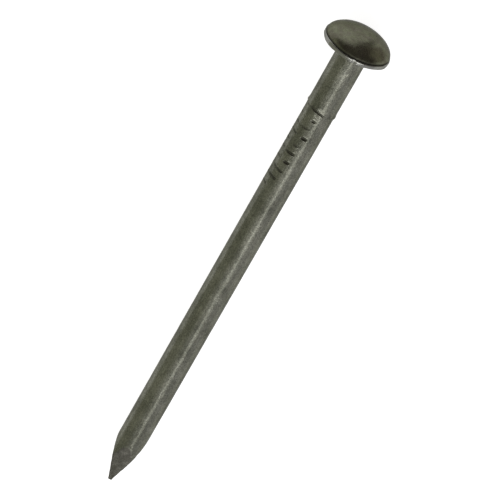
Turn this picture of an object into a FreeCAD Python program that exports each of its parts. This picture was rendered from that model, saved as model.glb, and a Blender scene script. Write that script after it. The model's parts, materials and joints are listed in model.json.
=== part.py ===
import FreeCAD, Part
import math
import os

from FreeCAD import Vector

os.makedirs("parts", exist_ok=True)

# A domed-head wire nail, cold-headed from a single length of drawn steel wire.
#
# It lies along X, with the head towards +X, the point towards -X and +Z up.
# The origin is on the axis, at the centre of the head's bearing face, which is
# the face that comes down on the timber. Lengths are in millimetres and angles
# in degrees. Angles around the shank are measured from +Z towards +Y.

# Wire
shank_diameter = 2.77
length_under_head = 50.8

# Head
head_diameter = 6.2
crown_height = 1.45
shoulder_radius = 0.9
rim_height = 0.15
edge_radius = 0.15
neck_fillet = 0.3

# Neck, swollen a little where the wire stood out of the grip dies
neck_swell = 0.035
neck_length = 5.9

# Ridge of metal squeezed up where the neck meets the front of the grip dies
ridge_height = 0.05
ridge_rise = 0.4
ridge_fall = 0.2

# Grip marks, pressed in by the teeth of two dies that closed on opposite sides
grip_mark_count = 10
grip_mark_pitch = 0.95
grip_mark_width = 0.3
grip_mark_depth = 0.1
grip_mark_arc = 90.0
grip_mark_gap = 0.05
grip_die_angle = 40.0
grip_die_count = 2

# Point, pinched to a blunt square pyramid
point_length = 4.85
point_flat = 0.27
point_turn = -5.0
point_facet_count = 4

shank_radius = shank_diameter / 2
head_radius = head_diameter / 2
neck_radius = shank_radius + neck_swell
ridge_radius = neck_radius + ridge_height
tip_x = -length_under_head
ridge_end_x = -(neck_length + ridge_rise + ridge_fall)


def arc(centre_x, centre_y, radius, first_angle, last_angle):
    """Edge of a circle in the XY plane, turning from X towards Y."""
    circle = Part.Circle(Vector(centre_x, centre_y, 0), Vector(0, 0, 1), radius)
    return Part.ArcOfCircle(circle, math.radians(first_angle), math.radians(last_angle)).toShape()


def polyline(points):
    """Straight edges through the points, in order."""
    return [Part.makeLine(Vector(*a, 0), Vector(*b, 0)) for a, b in zip(points, points[1:])]


def head_edges():
    """Outline of the head, from the top of the dome round to the neck.

    The dome is a wide crown arc that runs into the tighter shoulder arc at a tangent.
    """
    widest_x = edge_radius + rim_height
    shoulder_y = head_radius - shoulder_radius
    crown_radius = (shoulder_y**2 + crown_height**2 - shoulder_radius**2) / (
        2 * (crown_height - shoulder_radius)
    )
    crown_x = widest_x + crown_height - crown_radius
    meeting_angle = math.degrees(math.atan2(shoulder_y, widest_x - crown_x))
    edge_y = head_radius - edge_radius
    fillet_y = neck_radius + neck_fillet
    return [
        arc(crown_x, 0, crown_radius, 0, meeting_angle),
        arc(widest_x, shoulder_y, shoulder_radius, meeting_angle, 90),
        *polyline([(widest_x, head_radius), (edge_radius, head_radius)]),
        arc(edge_radius, edge_y, edge_radius, 90, 180),
        *polyline([(0, edge_y), (0, fillet_y)]),
        arc(-neck_fillet, fillet_y, neck_fillet, -90, 0),
    ]


def shank_edges():
    """Outline of the neck, the ridge and the wire, and back along the axis to the dome."""
    dome_top_x = edge_radius + rim_height + crown_height
    return polyline(
        [
            (-neck_fillet, neck_radius),
            (-neck_length, neck_radius),
            (-neck_length - ridge_rise, ridge_radius),
            (ridge_end_x, shank_radius),
            (tip_x, shank_radius),
            (tip_x, 0),
            (dome_top_x, 0),
        ]
    )


def turned_blank():
    """Head, neck and wire before the grip marks and the point."""
    wire = Part.Wire(Part.__sortEdges__(head_edges() + shank_edges()))
    return Part.Face(wire).revolve(Vector(0, 0, 0), Vector(1, 0, 0), 360)


def grip_tooth(mark_x, die_angle):
    """V-shaped ring whose axis lies beyond the wire's own, so its mark fades out at both ends."""
    half_arc = math.radians(grip_mark_arc / 2)
    sagitta = shank_radius * (1 - math.cos(half_arc))
    offset = grip_mark_depth * (shank_diameter - grip_mark_depth) / (2 * (sagitta - grip_mark_depth))
    apex_z = shank_radius - grip_mark_depth
    outer_z = shank_radius + grip_mark_depth
    corners = [
        Vector(mark_x, 0, apex_z),
        Vector(mark_x - grip_mark_width, 0, outer_z),
        Vector(mark_x + grip_mark_width, 0, outer_z),
    ]
    face = Part.Face(Part.makePolygon(corners + corners[:1]))
    tooth = face.revolve(Vector(0, 0, -offset), Vector(1, 0, 0), 360)
    tooth.rotate(Vector(0, 0, 0), Vector(1, 0, 0), -die_angle)
    return tooth


def grip_teeth():
    """Every tooth of the grip dies."""
    first_x = ridge_end_x - grip_mark_gap - grip_mark_width / 2
    teeth = []
    for die in range(grip_die_count):
        die_angle = grip_die_angle + die * 360 / grip_die_count
        for mark in range(grip_mark_count):
            teeth.append(grip_tooth(first_x - mark * grip_mark_pitch, die_angle))
    return teeth


def point_wedges():
    """Waste that the point dies pinch off, one wedge outside each facet."""
    half_flat = point_flat / 2
    slope = (shank_radius - half_flat) / point_length
    reach = point_length + shank_radius
    outside = shank_radius + slope * shank_radius
    corners = [
        Vector(tip_x + reach, -reach, half_flat + slope * reach),
        Vector(tip_x - half_flat, -reach, half_flat - slope * half_flat),
        Vector(tip_x - half_flat, -reach, outside + half_flat),
        Vector(tip_x + reach, -reach, outside + half_flat),
    ]
    face = Part.Face(Part.makePolygon(corners + corners[:1]))
    wedges = []
    for facet in range(point_facet_count):
        wedge = face.extrude(Vector(0, 2 * reach, 0))
        facet_angle = point_turn + facet * 360 / point_facet_count
        wedge.rotate(Vector(0, 0, 0), Vector(1, 0, 0), -facet_angle)
        wedges.append(wedge)
    return wedges


def nail():
    """The whole nail, one piece of steel."""
    return turned_blank().cut(grip_teeth()).cut(point_wedges())


nail().exportStep("parts/nail.step")
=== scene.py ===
import json
import math

import bpy
import numpy as np
from mathutils import Matrix, Vector


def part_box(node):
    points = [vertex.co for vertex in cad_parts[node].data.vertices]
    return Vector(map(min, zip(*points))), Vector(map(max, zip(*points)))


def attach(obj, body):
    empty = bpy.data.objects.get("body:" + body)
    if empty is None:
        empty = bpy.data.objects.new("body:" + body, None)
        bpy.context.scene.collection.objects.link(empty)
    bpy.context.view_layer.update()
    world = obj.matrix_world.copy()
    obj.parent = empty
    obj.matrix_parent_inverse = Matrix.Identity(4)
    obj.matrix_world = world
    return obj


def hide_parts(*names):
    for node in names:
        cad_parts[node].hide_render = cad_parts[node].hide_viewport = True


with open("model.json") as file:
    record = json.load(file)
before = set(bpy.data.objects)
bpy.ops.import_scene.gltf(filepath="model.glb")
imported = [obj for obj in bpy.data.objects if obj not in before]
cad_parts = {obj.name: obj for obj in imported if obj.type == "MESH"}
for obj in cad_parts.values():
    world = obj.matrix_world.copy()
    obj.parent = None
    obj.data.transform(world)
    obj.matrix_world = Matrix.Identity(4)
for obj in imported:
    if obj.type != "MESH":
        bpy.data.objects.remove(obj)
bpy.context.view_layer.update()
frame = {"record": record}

# A domed-head wire nail lying on a pale floor: head towards +X, point towards -X, +Z up.
# Shapes are worked out in millimetres and turned into metres as they become meshes.
# Angles around the axis are measured from +Z towards +Y. Angles written below are in degrees.

MM = 0.001

# Every random draw starts from SEED plus a number of its own
SEED = 11
MARK_SEED = 3
DENT_SEED = 5
LINE_SEED = 9

# Sizes that the frame gives
NAIL_LOW, NAIL_HIGH = [np.array(corner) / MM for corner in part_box("nail")]
MOUNTS = {mount["name"]: mount for mount in frame["record"]["mounts"]}
WIRE_RADIUS = MOUNTS["shank"]["dims"]["r_mm"]
HEAD_RADIUS = (NAIL_HIGH[2] - NAIL_LOW[2]) / 2
CROWN_X = NAIL_HIGH[0]
TIP_X = NAIL_LOW[0]

# Head
DOME_RADIUS = HEAD_RADIUS - 0.08
DOME_BASE_X = 0.42
RIM_HEIGHT = 0.4
RIM_ROOT_RADIUS = HEAD_RADIUS - 0.12
RIM_SQUARENESS = 3.2
NICK_ANGLE = -8
NICK_DEPTH = 0.09
NICK_WIDTH = 0.16
NECK_FILLET = 0.3

# Groove between the dome and the rim: x and distance out from the dome's radius
GROOVE = [(0.43, -0.01), (0.412, -0.04), (0.404, -0.08), (0.398, -0.04)]

# Painted shade in and beside the groove, where 1 is full. On the dome's side: its value at the
# groove's middle before it is cut off at 1, and the rings it takes to fall by 1. On the rim's side:
# the rings it stays full and the rings it fades over. Around the head: mean, swing, darkest angle.
GROOVE_START = 1.2
GROOVE_DOME_RINGS = 7
GROOVE_FULL_RINGS = 2.0
GROOVE_RIM_RINGS = 2.0
GROOVE_MEAN = 0.68
GROOVE_SWING = 0.32
GROOVE_DARKEST = -15

# Dents on the dome: their number and sizes, their depths at the usual size, and that size
DENT_COUNT = 46
DENT_SIZES = (0.15, 0.7)
DENT_DEPTHS = (0.002, 0.010)
USUAL_DENT = 0.4

# Neck and the ridge at its end
NECK_SWELL = 0.035
NECK_END_REACH = 0.02
RIDGE_X = -6.43
RIDGE_SLANT = 0.215
RIDGE_BOW = 0.078
RIDGE_HEIGHT = 0.042
RIDGE_TOP_SHARE = 0.75
RIDGE_SIDE_EXTRA = 0.6
RIDGE_RISE = 0.45
RIDGE_RISE_CURVE = 1.5
RIDGE_FALL = 0.14

# Grip marks, and the painted shade in their hollows
MARK_START = 0.02
FIRST_MARK_GAP = 0.1
MARK_PITCH = 0.955
MARK_SCATTER = 0.02
MARK_HALF_WIDTH = 0.13
MARK_LEAST_WIDTH = 0.7
MARK_WIDENING = 3.5
MARK_LIP = 0.13
LIP_PLACE = 1.35
LIP_WIDTH = 0.38
BITE_FULLNESS = 0.45
DARK_BITE = 0.09
DARK_WIDTH = 0.85
DIE_ANGLE = 40.0

# Fins that the dies squeezed out between them: height, width, and where they fade in and out
FIN_HEIGHT = 0.012
FIN_WIDTH = 0.09
FIN_HEAD_FADE = (RIDGE_X - 0.3, RIDGE_X + 0.1)
FIN_POINT_FADE = (-15.5, -13.0)

# Bites of the grip teeth, one row a tooth from the head down: first angle, last angle, depth.
# Angles are from the middle of the tooth's own die, growing the way angles around the axis do.
UPPER_BITES = [
    [(-68, 8, 0.085), (8, 52, 0.08)],
    [(-50, -30, 0.09), (-20, 10, 0.03), (18, 52, 0.08)],
    [(-44, 10, 0.05), (14, 52, 0.10)],
    [(-54, -28, 0.12), (-8, 24, 0.09), (26, 52, 0.10)],
    [(-40, -14, 0.05), (14, 52, 0.10)],
    [(-42, 2, 0.11), (10, 52, 0.10)],
    [(-40, -14, 0.13), (0, 50, 0.10)],
    [(-34, 24, 0.09), (26, 52, 0.11)],
    [(-26, 20, 0.13), (22, 52, 0.10)],
    [(-4, 52, 0.09)],
]
LOWER_BITES = [
    [(-46, 44, 0.09)],
    [(-44, -8, 0.07), (4, 40, 0.10)],
    [(-40, 42, 0.05)],
    [(-46, -16, 0.11), (8, 44, 0.07)],
    [(-30, 40, 0.08)],
    [(-44, 14, 0.10), (20, 42, 0.05)],
    [(-38, 40, 0.07)],
    [(-42, -6, 0.05), (2, 36, 0.11)],
    [(-24, 38, 0.09)],
    [(-40, 10, 0.06)],
]

# Point: angle of each facet, its length and how far from the axis it ends
POINT_TURN = -5.0
FACETS = [(0, 4.85, 0.13), (90, 4.8, 0.12), (180, 5.0, 0.14), (270, 5.45, 0.20)]
FACET_SOFTNESS = 0.05
SHOULDER_SOFTNESS = 0.03
FACET_EDGE = (-0.02, 0.03)
LEAST_FACING = 0.25
FAR_OUT = 50.0
TIP_ROUNDING = 0.12
TIP_FULLNESS = 0.8

# Scar at the top of the near facet: x, angle, height and size
SCAR = (-45.75, -18, 0.06, 0.12)

# Ripples: number of waves, height, length along x, most waves round the nail, seed.
# The underside's ripple runs along the radius, stretched, and each facet has its own seed.
RIM_RIPPLES = [(9, 0.016, 1.0, 7, 21), (12, 0.006, 1.0, 30, 22)]
UNDERSIDE_RIPPLE = (10, 0.006, 2.0, 9, 23)
UNDERSIDE_STRETCH = 4
RIDGE_PLACE_RIPPLE = (8, 0.02, 1.0, 9, 31)
RIDGE_HEIGHT_RIPPLE = (7, 0.008, 1.0, 8, 32)
WIRE_RIPPLES = [(14, 0.0014, 5.0, 2, 33), (24, 0.0010, 0.9, 9, 34)]
FACET_RIPPLE = (8, 0.007, 1.6, 5)
FACET_SEED = 40

# Pits in the wire: their number, the stretch of x they lie in, their sizes, their depths, seed
WIRE_PITS = [
    (150, -48, -0.5, (0.06, 0.2), (0.004, 0.02), 35),
    (40, -46, -7, (0.3, 0.6), (0.001, 0.004), 36),
]
PIT_STRETCHES = (0.8, 2.2)
PIT_REACH = 3

# Lines along the wire: their number, widths, and spreads of height and of turn along x
LINE_COUNT = 34
LINE_WIDTHS = (0.03, 0.12)
LINE_HEIGHT = 0.0032
LINE_DRIFT = 0.0006

# Fading of those lines: mean, swing, and the ranges of its rate along x and of its start
LINE_MEAN = 0.6
LINE_SWING = 0.4
LINE_RATES = (0.1, 0.5)
LINE_STARTS = (0, 6)

# Mesh: columns around the nail, then the first angle, last angle and step of each curve's rings,
# and the millimetres between rings on the head's underside
COLUMNS = 176
DOME_TURNS = (1.2, 88, 1.1)
RIM_TURNS = (16, 180, 5)
FILLET_TURNS = (0, 90, 10)
TIP_TURNS = (15, 88, 14)
UNDERSIDE_STEP = 0.08

# Runs of rings down the shank from the fillet: where each run ends, and its step
SHANK_RUNS = [(RIDGE_X + 0.8, 0.11), (-16.2, 0.04), (-44.6, 0.14), (TIP_X + TIP_ROUNDING, 0.05)]

# Steel's noises: cells a millimetre along each axis, detail, roughness, seed
NOISES = {
    "patches": ((0.5, 0.9, 0.9), 3.0, 0.6, 1.0),
    "mottle": ((2.2, 3.0, 3.0), 4.0, 0.6, 2.0),
    "streaks": ((0.25, 9.0, 9.0), 3.0, 0.6, 3.0),
    "grain": ((8.0, 9.0, 9.0), 3.0, 0.65, 4.0),
    "specks": ((7.0, 8.0, 8.0), 2.0, 0.5, 5.0),
    "dome_patches": ((1.5, 1.5, 1.5), 3.0, 0.6, 6.0),
}

# Ramps over the noises: where each starts and ends, and its values there if not 0 and 1
PATCH_RAMP = (0.32, 0.68)
MOTTLE_RAMP = (0.35, 0.7, 0.0, 0.45)
DOME_RAMP = (0.38, 0.62)
SPECK_RAMP = (0.66, 0.74)
STREAK_TONES = (0.3, 0.7, 0.88, 1.1)
GRAIN_TONES = (0.3, 0.7, 0.62, 1.36)
MOTTLE_ROUGHNESS = (0.3, 0.7, 0.2, 0.33)
STREAK_ROUGHNESS = (0.3, 0.7, -0.03, 0.03)

# Steel's colours, all linear. The edge tint darkens it where it is seen at a grazing angle.
DARK_STEEL = (0.100, 0.103, 0.084, 1.0)
LIGHT_STEEL = (0.172, 0.174, 0.146, 1.0)
MOTTLE_STEEL = (0.135, 0.132, 0.105, 1.0)
BROWN_DOME = (0.100, 0.092, 0.066, 1.0)
OLIVE_DOME = (0.132, 0.138, 0.086, 1.0)
EDGE_TINT = (0.46, 0.46, 0.45, 1.0)

# How strongly each place takes a colour of its own, and which. The dark colours of the grip marks
# and of the groove are painted shade; the rim's pale colour is burnished steel with painted sheen.
SPECK_COAT = (0.75, (0.045, 0.043, 0.036, 1.0))
# painted shade in the grip marks' hollows
MARK_PAINTED_SHADE = (0.42, (0.028, 0.027, 0.019, 1.0))
FACET_COAT = (0.7, (0.072, 0.068, 0.062, 1.0))
# pale rim: burnished steel, its paleness partly painted sheen
RIM_BURNISH_AND_SHEEN = (0.55, (0.27, 0.27, 0.26, 1.0))
# painted shade in the groove between the dome and the rim
GROOVE_PAINTED_SHADE = (0.88, (0.012, 0.011, 0.009, 1.0))
DOME_COAT = 0.6

# What each part of the nail adds to the steel's roughness, and each noise to its relief
ROUGHER = {"dome": 0.03, "rim": -0.12, "groove": 0.4, "mark": 0.25}
RELIEF = {"streaks": 0.25, "grain": 0.3, "mottle": 1.1}
SPECK_RELIEF = -0.5
RELIEF_HEIGHT = 0.012

# Floor and backdrop, in metres, and how much light they give off. The shank's resting place is
# looked for at least REST_GAP behind the head's.
FLOOR_HALF = 1.1
FLOOR_COLOUR = (0.45, 0.45, 0.45, 1.0)
FLOOR_ROUGHNESS = 0.9
FLOOR_GLOW = 0.92
REST_GAP = 0.01
BACKDROP_RADIUS = 1.5
BACKDROP_GLOW = 1.05

# Cards just over the floor: corners in millimetres, where 900 is far away, and colour
CARD_GAP = 0.05
CARDS = {
    "dark_card": (
        [(3.0, -1.9), (7.5, -1.0), (900, 190), (900, -500), (10, -5), (8.6, -3.2), (4.8, -2.4)],
        (0.17, 0.15, 0.135, 1),
    ),
    "brown_card": (
        [(4.0, -3.2), (8.6, -3.2), (10, -5), (900, -500)]
        + [(900, -900), (300, -900), (2.1, -13), (3.0, -6.4)],
        (0.5, 0.46, 0.4, 1),
    ),
}

# Surroundings: olive overhead, then the way, the fade and the colour of each other side
OVERHEAD_COLOUR = (0.58, 0.585, 0.48, 1.0)
SIDES = [
    ((-0.35, -0.88, 0.33), (0.0, 1.0), (0.88, 0.87, 0.88, 1.0)),
    ((0.75, -0.25, 0.6), (0.25, 0.5), (0.16, 0.145, 0.13, 1.0)),
]

# Softboxes: direction from the nail's middle, size along and across the wire in metres, watts
SOFTBOX_DISTANCE = 0.6
SOFTBOXES = {
    "overhead": ((-0.487, -0.40, 0.777), (0.9, 0.085), 0.5),
    "head_light": ((-0.2, -0.27, 0.94), (0.12, 0.7), 0.9),
}

# Camera: angle from the nail's axis, lean of the head in the picture, then the distance and the
# place it aims at in millimetres, and its clipping in metres
VIEW_FROM_AXIS = 60.88
HEAD_LEAN = 29.88
VIEW_DISTANCE = 270.9
AIM = (-22.77, -0.755, -1.04)
LENS = 219.2
SENSOR = 36.0
CLIP_START = 0.01
CLIP_END = 5.0


def columns():
    """Angles of the mesh's columns, the first on the middle of a facet."""
    return math.radians(POINT_TURN) + np.arange(COLUMNS) * 2 * math.pi / COLUMNS


def spaced(first, last, step):
    """Even stations from first up to last, without last itself."""
    count = max(1, round(abs(last - first) / step))
    return first + (last - first) * np.arange(count) / count


def ripple(x, angle, waves, amplitude, x_length, most_turns, seed):
    """Smooth unevenness over length and angle that meets itself after a full turn."""
    pick = np.random.default_rng(SEED + seed)
    total = 0.0
    for _ in range(waves):
        turns = pick.integers(-most_turns, most_turns + 1)
        rate = pick.normal() * 2 * math.pi / x_length
        total = total + np.sin(rate * x + turns * angle + pick.uniform(0, 2 * math.pi))
    return amplitude * math.sqrt(2 / waves) * total


def angle_gap(angle, middle):
    """Signed difference of two angles, at most half a turn."""
    return (angle - middle + math.pi) % (2 * math.pi) - math.pi


def bell(value):
    """1 where value is 0, falling smoothly to 0 on both sides."""
    return np.exp(-(value**2))


def step_up(value, low, high):
    """0 below low, 1 above high and smooth between."""
    t = np.clip((value - low) / (high - low), 0, 1)
    return t * t * (3 - 2 * t)


def soft_least(values, softness):
    """Least of several arrays, rounded where two of them meet."""
    least = np.minimum.reduce(values)
    return least - softness * np.log(sum(np.exp((least - v) / softness) for v in values))


def rim_outline():
    """Rounded square edge of the rim, from its top round to its root under the head."""
    swing = np.radians(spaced(*RIM_TURNS))
    power = 2 / RIM_SQUARENESS
    middle = RIM_HEIGHT / 2
    rim_x = middle + middle * np.sign(np.cos(swing)) * np.abs(np.cos(swing)) ** power
    rim_r = RIM_ROOT_RADIUS + (HEAD_RADIUS - RIM_ROOT_RADIUS) * np.sin(swing) ** power
    return np.stack([rim_x, rim_r], 1)


def head_outline():
    """x and radius of each ring from the top of the dome to the neck, by part of the head."""
    turn = np.radians(spaced(*DOME_TURNS))
    dome_x = DOME_BASE_X + (CROWN_X - DOME_BASE_X) * np.cos(turn)
    groove = np.array(GROOVE)
    groove[:, 1] += DOME_RADIUS
    fillet_top = WIRE_RADIUS + NECK_SWELL + NECK_FILLET
    under_r = spaced(RIM_ROOT_RADIUS, fillet_top, UNDERSIDE_STEP)
    bend = np.radians(spaced(*FILLET_TURNS))
    fillet_x = -NECK_FILLET + NECK_FILLET * np.cos(bend)
    return {
        "dome": np.stack([dome_x, DOME_RADIUS * np.sin(turn)], 1),
        "groove": groove,
        "rim": rim_outline(),
        "underside": np.stack([np.zeros_like(under_r), under_r], 1),
        "fillet": np.stack([fillet_x, fillet_top - NECK_FILLET * np.sin(bend)], 1),
    }


def outward(points):
    """Unit normals of an outline that runs from the dome's top to the neck."""
    along = np.gradient(points, axis=0)
    along /= np.linalg.norm(along, axis=1)[:, None]
    return np.stack([along[:, 1], -along[:, 0]], 1)


def paint_groove_shade(ring_count, dome_count, angle):
    """Painted shade in and beside the groove at each place, by rings from the groove's middle."""
    past = np.arange(ring_count)[:, None] - (dome_count + (len(GROOVE) - 1) / 2)
    dome_side = np.clip(GROOVE_START + past / GROOVE_DOME_RINGS, 0, 1)
    rim_side = np.clip(1 - (past - GROOVE_FULL_RINGS) / GROOVE_RIM_RINGS, 0, 1)
    around = GROOVE_MEAN + GROOVE_SWING * np.cos(angle - math.radians(GROOVE_DARKEST))
    return np.where(past < 0, dome_side, rim_side) * around


def rim_push(r, angle):
    """How far the rim stands out. It is metal squeezed out between dies, so it wanders."""
    wander = sum(ripple(0.0, angle, *settings) for settings in RIM_RIPPLES)
    gap = angle_gap(angle, math.radians(NICK_ANGLE)) * HEAD_RADIUS
    nick = NICK_DEPTH * bell(gap / NICK_WIDTH)
    return wander - nick * step_up(r, RIM_ROOT_RADIUS, HEAD_RADIUS)


def dome_dents(r, angle):
    """Shallow dents scattered over the dome, as a height at each place."""
    pick = np.random.default_rng(SEED + DENT_SEED)
    flat_x = r * np.cos(angle)
    flat_y = r * np.sin(angle)
    relief = np.zeros_like(flat_x)
    for _ in range(DENT_COUNT):
        away = DOME_RADIUS * math.sqrt(pick.uniform(0, 1))
        turn = pick.uniform(0, 2 * math.pi)
        size = pick.uniform(*DENT_SIZES)
        depth = pick.uniform(*DENT_DEPTHS) * size / USUAL_DENT
        gap = (flat_x - away * math.cos(turn)) ** 2 + (flat_y - away * math.sin(turn)) ** 2
        relief -= depth * np.exp(-gap / size**2)
    return relief


def head_rings():
    """x and radius at every place on the head's rings, and the weights of its parts there, the
    groove's being painted shade.
    """
    parts = head_outline()
    points = np.concatenate(list(parts.values()))
    part = np.repeat(list(parts), [len(rings) for rings in parts.values()])[:, None]
    normals = outward(points)
    angle = columns()[None, :]
    r = points[:, 1:]
    on_dome = (part == "dome") * 1.0
    on_rim = (part == "rim") * 1.0
    push = on_rim * rim_push(r, angle) + on_dome * dome_dents(r, angle)
    push = push + (part == "underside") * ripple(UNDERSIDE_STRETCH * r, angle, *UNDERSIDE_RIPPLE)
    # painted shade in and beside the groove, darkest at one angle around the head
    groove_shade = paint_groove_shade(len(points), len(parts["dome"]), angle)
    x = points[:, :1] + push * normals[:, :1]
    return x, r + push * normals[:, 1:], {"dome": on_dome, "rim": on_rim, "groove": groove_shade}


def shank_stations():
    """Places of the rings along the shank, closest where there is most to show."""
    runs = []
    first = -NECK_FILLET
    for last, step in SHANK_RUNS:
        runs.append(spaced(first, last, step))
        first = last
    return np.concatenate(runs)


def bite_depth(angle, bites):
    """How deep one tooth cuts at each angle."""
    depth = np.zeros_like(angle)
    for first, last, deepest in bites:
        middle = math.radians((first + last) / 2)
        half = math.radians((last - first) / 2)
        inside = np.clip(1 - (angle_gap(angle, middle) / half) ** 2, 0, 1)
        depth = np.maximum(depth, deepest * inside**BITE_FULLNESS)
    return depth


def grip_relief(x, angle, ridge_x):
    """Height of the grip marks and their lips, and how much painted shade each place takes in the
    marks.

    The first mark follows the ridge and the others lie square to the wire, a little scattered.
    """
    relief = np.zeros(np.broadcast(x, angle).shape)
    shade = np.zeros_like(relief)
    pick = np.random.default_rng(SEED + MARK_SEED)
    for die_angle, teeth in ((DIE_ANGLE, UPPER_BITES), (DIE_ANGLE + 180, LOWER_BITES)):
        local = angle_gap(angle, math.radians(die_angle))
        for tooth, bites in enumerate(teeth):
            lean = pick.normal(0, MARK_SCATTER)
            if tooth == 0:
                middle = ridge_x - FIRST_MARK_GAP
            else:
                middle = RIDGE_X - MARK_START - tooth * MARK_PITCH + pick.normal(0, MARK_SCATTER)
            depth = bite_depth(local, bites)
            width = MARK_HALF_WIDTH * (MARK_LEAST_WIDTH + MARK_WIDENING * depth)
            across = (x - middle - lean * local) / width
            notch = np.clip(1 - np.abs(across), 0, 1)
            lip = bell((np.abs(across) - LIP_PLACE) / LIP_WIDTH)
            relief += depth * (MARK_LIP * lip - notch)
            # painted shade in the marks' hollows, fuller where a tooth bit deeper
            dark = step_up(depth, 0.0, DARK_BITE) * np.exp(-((across / DARK_WIDTH) ** 4))
            shade = np.maximum(shade, dark)
    return relief, shade


def pits(x, angle, count, low, high, sizes, depths, seed):
    """Small round or oval dents scattered over the wire, as a height at each place."""
    pick = np.random.default_rng(SEED + seed)
    relief = np.zeros(np.broadcast(x, angle).shape)
    for _ in range(count):
        at_x = pick.uniform(low, high)
        at_angle = pick.uniform(0, 2 * math.pi)
        size = pick.uniform(*sizes)
        depth = pick.uniform(*depths)
        stretch = pick.uniform(*PIT_STRETCHES)
        rows = np.abs(x[:, 0] - at_x) < PIT_REACH * size * stretch
        if not rows.any():
            continue
        gap_x = (x[rows] - at_x) / stretch
        gap_y = angle_gap(angle, at_angle) * WIRE_RADIUS
        relief[rows] -= depth * np.exp(-(gap_x**2 + gap_y**2) / size**2)
    return relief


def die_lines(x, angle):
    """Fine scratches that the drawing die left along the wire, each fading in and out."""
    pick = np.random.default_rng(SEED + LINE_SEED)
    relief = np.zeros(np.broadcast(x, angle).shape)
    for _ in range(LINE_COUNT):
        at_angle = pick.uniform(0, 2 * math.pi)
        width = pick.uniform(*LINE_WIDTHS)
        height = pick.normal(0, LINE_HEIGHT)
        drift = pick.normal(0, LINE_DRIFT)
        wave = np.sin(x * pick.uniform(*LINE_RATES) + pick.uniform(*LINE_STARTS))
        fade = LINE_MEAN + LINE_SWING * wave
        gap = angle_gap(angle, at_angle + drift * x) * WIRE_RADIUS
        relief += height * fade * bell(gap / width)
    return relief


def scar(x, angle):
    """Small bump that the point dies left, as a height at each place."""
    at_x, at_angle, height, size = SCAR
    gap = (x - at_x) ** 2 + (angle_gap(angle, math.radians(at_angle)) * WIRE_RADIUS) ** 2
    return height * np.exp(-gap / size**2)


def facet_radius(x, angle):
    """Distance from the axis to the point's facets, rounded along their edges."""
    from_tip = x - TIP_X
    walls = []
    for facet, (turn, length, end) in enumerate(FACETS):
        slope = (WIRE_RADIUS - end) / length
        away = end + slope * from_tip
        away = away + ripple(x, angle, *FACET_RIPPLE, FACET_SEED + facet)
        facing = np.cos(angle - math.radians(POINT_TURN + turn))
        beyond = away / np.maximum(facing, LEAST_FACING)
        walls.append(np.where(facing > LEAST_FACING, beyond, FAR_OUT))
    return soft_least(walls, FACET_SOFTNESS)


def neck_and_ridge(x, angle, ridge_x):
    """How far the neck and the ridge at its end stand out from the wire."""
    neck = NECK_SWELL * step_up(x, ridge_x - RIDGE_FALL, ridge_x + NECK_END_REACH)
    height = RIDGE_HEIGHT * (RIDGE_TOP_SHARE + RIDGE_SIDE_EXTRA * np.sin(angle) ** 2)
    height = height + ripple(0.0, angle, *RIDGE_HEIGHT_RIPPLE)
    rise = np.clip(1 - (x - ridge_x) / RIDGE_RISE, 0, 1) ** RIDGE_RISE_CURVE
    fall = step_up(x, ridge_x - RIDGE_FALL, ridge_x)
    return neck + height * np.where(x > ridge_x, rise, fall)


def fins(x, angle):
    """Low fins along the wire where the two grip dies met."""
    zone = step_up(x, *FIN_POINT_FADE) * (1 - step_up(x, *FIN_HEAD_FADE))
    relief = 0.0
    for side in (90, 270):
        gap = angle_gap(angle, math.radians(DIE_ANGLE + side)) * WIRE_RADIUS
        relief = relief + FIN_HEIGHT * zone * bell(gap / FIN_WIDTH)
    return relief


def shank_rings():
    """x and radius at every place from the neck to the point, and the weights of its parts."""
    x = shank_stations()[:, None]
    angle = columns()[None, :]
    ridge_x = RIDGE_X + RIDGE_SLANT * np.sin(angle) + RIDGE_BOW * np.cos(2 * angle)
    ridge_x = ridge_x + ripple(0.0, angle, *RIDGE_PLACE_RIPPLE)
    marks, shade = grip_relief(x, angle, ridge_x)
    wire = WIRE_RADIUS + neck_and_ridge(x, angle, ridge_x) + marks + fins(x, angle)
    for settings in WIRE_RIPPLES:
        wire = wire + ripple(x, angle, *settings)
    wire = wire + die_lines(x, angle)
    for settings in WIRE_PITS:
        wire = wire + pits(x, angle, *settings)
    wire = wire + scar(x, angle)
    facets = facet_radius(x, angle)
    r = soft_least([wire, facets], SHOULDER_SOFTNESS)
    # the mark weight is painted shade in the grip marks
    return x + 0 * angle, r, {"mark": shade, "facet": step_up(wire - facets, *FACET_EDGE)}


def tip_rings(last_ring):
    """Rings that close the blunt end of the point."""
    turn = np.radians(spaced(*TIP_TURNS))[:, None]
    x = TIP_X + TIP_ROUNDING * (1 - np.sin(turn))
    return x + 0 * last_ring, last_ring * np.cos(turn) ** TIP_FULLNESS, {"facet": 1.0}


def grid_mesh(name, x, r, pole_x, end_x):
    """Closed mesh of rings, with a point at each pole. Columns turn from +Z towards +Y."""
    rings, count = r.shape
    angle = columns()[None, :]
    places = np.stack([x, r * np.sin(angle), r * np.cos(angle)], -1).reshape(-1, 3)
    places = np.concatenate([places, [[pole_x, 0, 0], [end_x, 0, 0]]]) * MM
    start = (np.arange(rings - 1) * count)[:, None]
    here = np.arange(count)[None, :]
    after = (here + 1) % count
    quads = np.stack([start + here, start + after, start + count + after, start + count + here], -1)
    quads = quads.reshape(-1, 4)
    pole, end = rings * count, rings * count + 1
    last = (rings - 1) * count
    first_fan = np.stack([np.full(count, pole), after[0], here[0]], 1)
    last_fan = np.stack([np.full(count, end), last + here[0], last + after[0]], 1)
    mesh = bpy.data.meshes.new(name)
    mesh.from_pydata(places.tolist(), [], quads.tolist() + first_fan.tolist() + last_fan.tolist())
    mesh.polygons.foreach_set("use_smooth", np.ones(len(mesh.polygons), dtype=bool))
    mesh.update()
    return mesh


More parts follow.
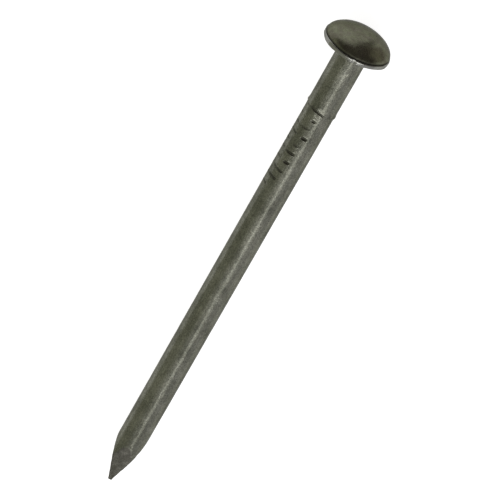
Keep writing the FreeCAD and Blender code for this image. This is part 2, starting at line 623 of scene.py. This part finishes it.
def add_weight(mesh, name, values):
    """Stores one number for each point of the mesh, for the material to read."""
    layer = mesh.attributes.new(name, "FLOAT", "POINT")
    full = np.zeros(len(mesh.vertices), dtype=np.float32)
    full[: values.size] = values.ravel()
    layer.data.foreach_set("value", full)


def build_nail(material):
    """The whole nail as one closed mesh with its material."""
    head = head_rings()
    shank = shank_rings()
    sections = [head, shank, tip_rings(shank[1][-1:])]
    x = np.concatenate([section[0] for section in sections])
    r = np.concatenate([section[1] for section in sections])
    mesh = grid_mesh("nail_steel", x, r, CROWN_X, TIP_X)
    for name in ("mark", "groove", "facet", "dome", "rim"):
        rows = []
        for _, section_r, weights in sections:
            rows.append(np.broadcast_to(weights.get(name, 0.0), section_r.shape))
        add_weight(mesh, name, np.concatenate(rows))
    mesh.materials.append(material)
    nail = bpy.data.objects.new("nail_steel", mesh)
    bpy.context.scene.collection.objects.link(nail)
    return nail


class Nodes:
    """Short calls for building the nodes of a material or of the world."""

    def __init__(self, owner):
        owner.use_nodes = True
        self.tree = owner.node_tree
        self.tree.nodes.clear()

    def add(self, kind, **settings):
        """A new node with its settings."""
        node = self.tree.nodes.new(kind)
        for key, value in settings.items():
            setattr(node, key, value)
        return node

    def link(self, source, target):
        """Feeds a socket from another."""
        self.tree.links.new(source, target)

    def put(self, target, value):
        """Feeds a socket from another socket or sets it to a number or colour."""
        if isinstance(value, bpy.types.NodeSocket):
            self.link(value, target)
        else:
            target.default_value = value

    def math(self, operation, a, b=0.0, clamp=False):
        """Result of one operation on two sockets or numbers."""
        node = self.add("ShaderNodeMath", operation=operation, use_clamp=clamp)
        self.put(node.inputs[0], a)
        self.put(node.inputs[1], b)
        return node.outputs[0]

    def total(self, start, parts, clamp=False):
        """start plus every socket times its own number."""
        for socket, factor in parts:
            start = self.math("ADD", start, self.math("MULTIPLY", socket, factor), clamp)
        return start

    def span(self, value, low, high, to_low=0.0, to_high=1.0):
        """value from low to high becomes to_low to to_high, smoothly."""
        node = self.add("ShaderNodeMapRange", interpolation_type="SMOOTHSTEP")
        for place, item in enumerate((value, low, high, to_low, to_high)):
            self.put(node.inputs[place], item)
        return node.outputs[0]

    def mix(self, share, a, b, blend="MIX"):
        """Colour a with a share of colour b."""
        node = self.add("ShaderNodeMix", data_type="RGBA", blend_type=blend)
        self.put(node.inputs[0], share)
        self.put(node.inputs[6], a)
        self.put(node.inputs[7], b)
        return node.outputs[2]

    def coat(self, colour, where, share, coat_colour):
        """colour with a coat over it, share of it showing where the weight is 1."""
        return self.mix(self.math("MULTIPLY", where, share), colour, coat_colour)

    def grey(self, value):
        """Colour with the same value in its three channels."""
        node = self.add("ShaderNodeCombineColor")
        for channel in range(3):
            self.link(value, node.inputs[channel])
        return node.outputs[0]

    def weight(self, name):
        """One of the numbers stored with the mesh."""
        return self.add("ShaderNodeAttribute", attribute_name=name).outputs["Fac"]

    def place(self, scale):
        """The point on the object, in millimetres, stretched by scale on each axis."""
        source = self.add("ShaderNodeTexCoord").outputs["Object"]
        node = self.add("ShaderNodeVectorMath", operation="MULTIPLY")
        self.link(source, node.inputs[0])
        node.inputs[1].default_value = [s / MM for s in scale]
        return node.outputs[0]

    def noise(self, scale, detail, roughness, seed):
        """Noise with so many cells a millimetre on each axis."""
        node = self.add("ShaderNodeTexNoise", noise_dimensions="4D")
        self.link(self.place(scale), node.inputs["Vector"])
        node.inputs["W"].default_value = seed
        node.inputs["Scale"].default_value = 1.0
        node.inputs["Detail"].default_value = detail
        node.inputs["Roughness"].default_value = roughness
        return node.outputs["Fac"]

    def surface(self, shader, kind="ShaderNodeOutputMaterial"):
        """Makes the shader the surface of the material or of the world."""
        self.link(shader.outputs[0], self.add(kind).inputs["Surface"])


def steel_colour(n, noise, weight, speck):
    """Grey-olive in patches, streaked along the wire, with each part's own coat over it, painted
    shade on the marks and the groove and painted sheen on the rim.
    """
    colour = n.mix(n.span(noise["patches"], *PATCH_RAMP), DARK_STEEL, LIGHT_STEEL)
    colour = n.mix(n.span(noise["mottle"], *MOTTLE_RAMP), colour, MOTTLE_STEEL)
    streak_tone = n.span(noise["streaks"], *STREAK_TONES)
    grain_tone = n.span(noise["grain"], *GRAIN_TONES)
    tone = n.grey(n.math("MULTIPLY", streak_tone, grain_tone))
    colour = n.mix(1.0, colour, tone, "MULTIPLY")
    colour = n.coat(colour, speck, *SPECK_COAT)
    # painted shade in the grip marks
    colour = n.coat(colour, weight["mark"], *MARK_PAINTED_SHADE)
    colour = n.coat(colour, weight["facet"], *FACET_COAT)
    dome_colour = n.mix(n.span(noise["dome_patches"], *DOME_RAMP), BROWN_DOME, OLIVE_DOME)
    colour = n.coat(colour, weight["dome"], DOME_COAT, dome_colour)
    # pale rim: burnished steel, its paleness partly painted sheen
    colour = n.coat(colour, weight["rim"], *RIM_BURNISH_AND_SHEEN)
    # painted shade in the groove between the dome and the rim
    return n.coat(colour, weight["groove"], *GROOVE_PAINTED_SHADE)


def steel_roughness(n, noise, weight):
    """Sheen that changes with the mottle, the streaks and the parts of the nail."""
    rough = n.span(noise["mottle"], *MOTTLE_ROUGHNESS)
    rough = n.math("ADD", rough, n.span(noise["streaks"], *STREAK_ROUGHNESS))
    return n.total(rough, [(weight[part], more) for part, more in ROUGHER.items()], True)


def steel_bump(n, noise, speck):
    """Fine relief of the steel's skin."""
    parts = [(noise[name], height) for name, height in RELIEF.items()]
    bump = n.add("ShaderNodeBump")
    bump.inputs["Strength"].default_value = 1.0
    bump.inputs["Distance"].default_value = RELIEF_HEIGHT * MM
    n.link(n.total(0.0, parts + [(speck, SPECK_RELIEF)]), bump.inputs["Height"])
    return bump.outputs["Normal"]


def steel():
    """Bare drawn steel: oily grey-olive, streaked along the wire, mottled and finely pitted."""
    material = bpy.data.materials.new("drawn_steel")
    n = Nodes(material)
    noise = {name: n.noise(*settings) for name, settings in NOISES.items()}
    weight = {name: n.weight(name) for name in ("dome", "mark", "groove", "facet", "rim")}
    speck = n.span(noise["specks"], *SPECK_RAMP)
    shader = n.add("ShaderNodeBsdfPrincipled")
    shader.inputs["Metallic"].default_value = 1.0
    shader.inputs["Specular Tint"].default_value = EDGE_TINT
    n.link(steel_colour(n, noise, weight, speck), shader.inputs["Base Color"])
    n.link(steel_roughness(n, noise, weight), shader.inputs["Roughness"])
    n.link(steel_bump(n, noise, speck), shader.inputs["Normal"])
    n.surface(shader)
    return material


def floor_material():
    """Plain pale matt floor that gives off some light of its own, so shadows stay faint."""
    material = bpy.data.materials.new("pale_floor")
    n = Nodes(material)
    shader = n.add("ShaderNodeBsdfPrincipled")
    shader.inputs["Base Color"].default_value = FLOOR_COLOUR
    shader.inputs["Roughness"].default_value = FLOOR_ROUGHNESS
    shader.inputs["Specular IOR Level"].default_value = 0.0
    shader.inputs["Emission Color"].default_value = (1.0, 1.0, 1.0, 1.0)
    shader.inputs["Emission Strength"].default_value = FLOOR_GLOW
    n.surface(shader)
    return material


def glow_material(name, colour, strength):
    """Plain light-giving surface, for the backdrop and the cards."""
    material = bpy.data.materials.new(name)
    n = Nodes(material)
    shader = n.add("ShaderNodeEmission")
    shader.inputs["Color"].default_value = colour
    shader.inputs["Strength"].default_value = strength
    n.surface(shader)
    return material


def floor_tilt(nail):
    """Where the head touches the floor, and how steeply the floor rises towards the point.

    The nail rests on the lowest place of its head and on one place further down the shank.
    """
    places = np.empty(len(nail.data.vertices) * 3)
    nail.data.vertices.foreach_get("co", places)
    places = places.reshape(-1, 3)
    touch = places[places[:, 2].argmin()]
    behind = places[places[:, 0] < touch[0] - REST_GAP]
    slope = ((behind[:, 2] - touch[2]) / (touch[0] - behind[:, 0])).min()
    return touch, slope


def build_floor(nail):
    """Floor that the lowest places of the nail's head and shank rest on."""
    touch, slope = floor_tilt(nail)
    corners = []
    for side_x, side_y in ((-1, -1), (1, -1), (1, 1), (-1, 1)):
        x = side_x * FLOOR_HALF
        corners.append((x, side_y * FLOOR_HALF, touch[2] + slope * (touch[0] - x)))
    mesh = bpy.data.meshes.new("floor")
    mesh.from_pydata(corners, [], [(0, 1, 2, 3)])
    mesh.materials.append(floor_material())
    floor = bpy.data.objects.new("floor", mesh)
    bpy.context.scene.collection.objects.link(floor)
    return floor


def build_backdrop():
    """Pale sphere around everything, seen by the camera and by nothing else."""
    bpy.ops.mesh.primitive_uv_sphere_add(segments=48, ring_count=24, radius=BACKDROP_RADIUS)
    dome = bpy.context.object
    dome.name = "backdrop"
    dome.data.materials.append(glow_material("pale_backdrop", (1, 1, 1, 1), BACKDROP_GLOW))
    dome.visible_diffuse = False
    dome.visible_glossy = False
    dome.visible_shadow = False
    dome.visible_transmission = False


def build_card(floor, name, outline, colour):
    """Card lying just over the floor near the head, seen only as a reflection in the nail."""
    point_side_z = floor.data.vertices[0].co.z
    head_side_z = floor.data.vertices[1].co.z
    fall = (point_side_z - head_side_z) / (2 * FLOOR_HALF)
    level = (point_side_z + head_side_z) / 2
    corners = []
    for x, y in outline:
        corners.append((x * MM, y * MM, level - fall * x * MM + CARD_GAP * MM))
    mesh = bpy.data.meshes.new(name)
    mesh.from_pydata(corners, [], [tuple(range(len(corners)))])
    mesh.materials.append(glow_material(name, colour, 1.0))
    card = bpy.data.objects.new(name, mesh)
    bpy.context.scene.collection.objects.link(card)
    card.visible_camera = False
    card.visible_diffuse = False
    card.visible_shadow = False
    card.visible_transmission = False


def build_world():
    """Dim surroundings: olive overhead, paler on the right, dark on the camera's side."""
    world = bpy.data.worlds.new("studio")
    bpy.context.scene.world = world
    n = Nodes(world)
    direction = n.add("ShaderNodeTexCoord").outputs["Generated"]
    colour = OVERHEAD_COLOUR
    for way, fade, side_colour in SIDES:
        towards = n.add("ShaderNodeVectorMath", operation="DOT_PRODUCT")
        n.link(direction, towards.inputs[0])
        towards.inputs[1].default_value = Vector(way).normalized()
        colour = n.mix(n.span(towards.outputs["Value"], *fade), colour, side_colour)
    background = n.add("ShaderNodeBackground")
    n.link(colour, background.inputs["Color"])
    n.surface(background, "ShaderNodeOutputWorld")


def build_softbox(name, direction, size, power):
    """Rectangular area light that faces the nail's middle, its length along the wire."""
    light = bpy.data.lights.new(name, "AREA")
    light.shape = "RECTANGLE"
    light.size, light.size_y = size
    light.energy = power
    holder = bpy.data.objects.new(name, light)
    middle = Vector((AIM[0] * MM, 0, 0))
    towards = Vector(direction).normalized()
    long_axis = Vector((1, 0, 0)) - towards * towards.x
    long_axis.normalize()
    turn = Matrix((long_axis, towards.cross(long_axis), towards)).transposed().to_4x4()
    holder.matrix_world = Matrix.Translation(middle + towards * SOFTBOX_DISTANCE) @ turn
    bpy.context.scene.collection.objects.link(holder)


def build_camera():
    """Camera that looks down at the head's side of the nail, which leans across the picture."""
    angle = math.radians(VIEW_FROM_AXIS)
    lean = math.radians(HEAD_LEAN)
    back = Vector((math.cos(angle), 0, math.sin(angle)))
    head_up = Vector((math.sin(angle), 0, -math.cos(angle)))
    right = Vector((0, -1, 0))
    up = head_up * math.cos(lean) - right * math.sin(lean)
    turn = Matrix((up.cross(back), up, back)).transposed().to_4x4()
    data = bpy.data.cameras.new("camera")
    data.lens = LENS
    data.sensor_width = SENSOR
    data.clip_start = CLIP_START
    data.clip_end = CLIP_END
    camera = bpy.data.objects.new("camera", data)
    aim = Vector(AIM) * MM
    camera.matrix_world = Matrix.Translation(aim + back * VIEW_DISTANCE * MM) @ turn
    bpy.context.scene.collection.objects.link(camera)
    bpy.context.scene.camera = camera


def main():
    nail = build_nail(steel())
    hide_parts("nail")
    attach(nail, "root")
    floor = build_floor(nail)
    for name, (outline, colour) in CARDS.items():
        build_card(floor, name, outline, colour)
    build_backdrop()
    build_world()
    for name, settings in SOFTBOXES.items():
        build_softbox(name, *settings)
    build_camera()
    bpy.context.scene.view_settings.view_transform = "Standard"


main()
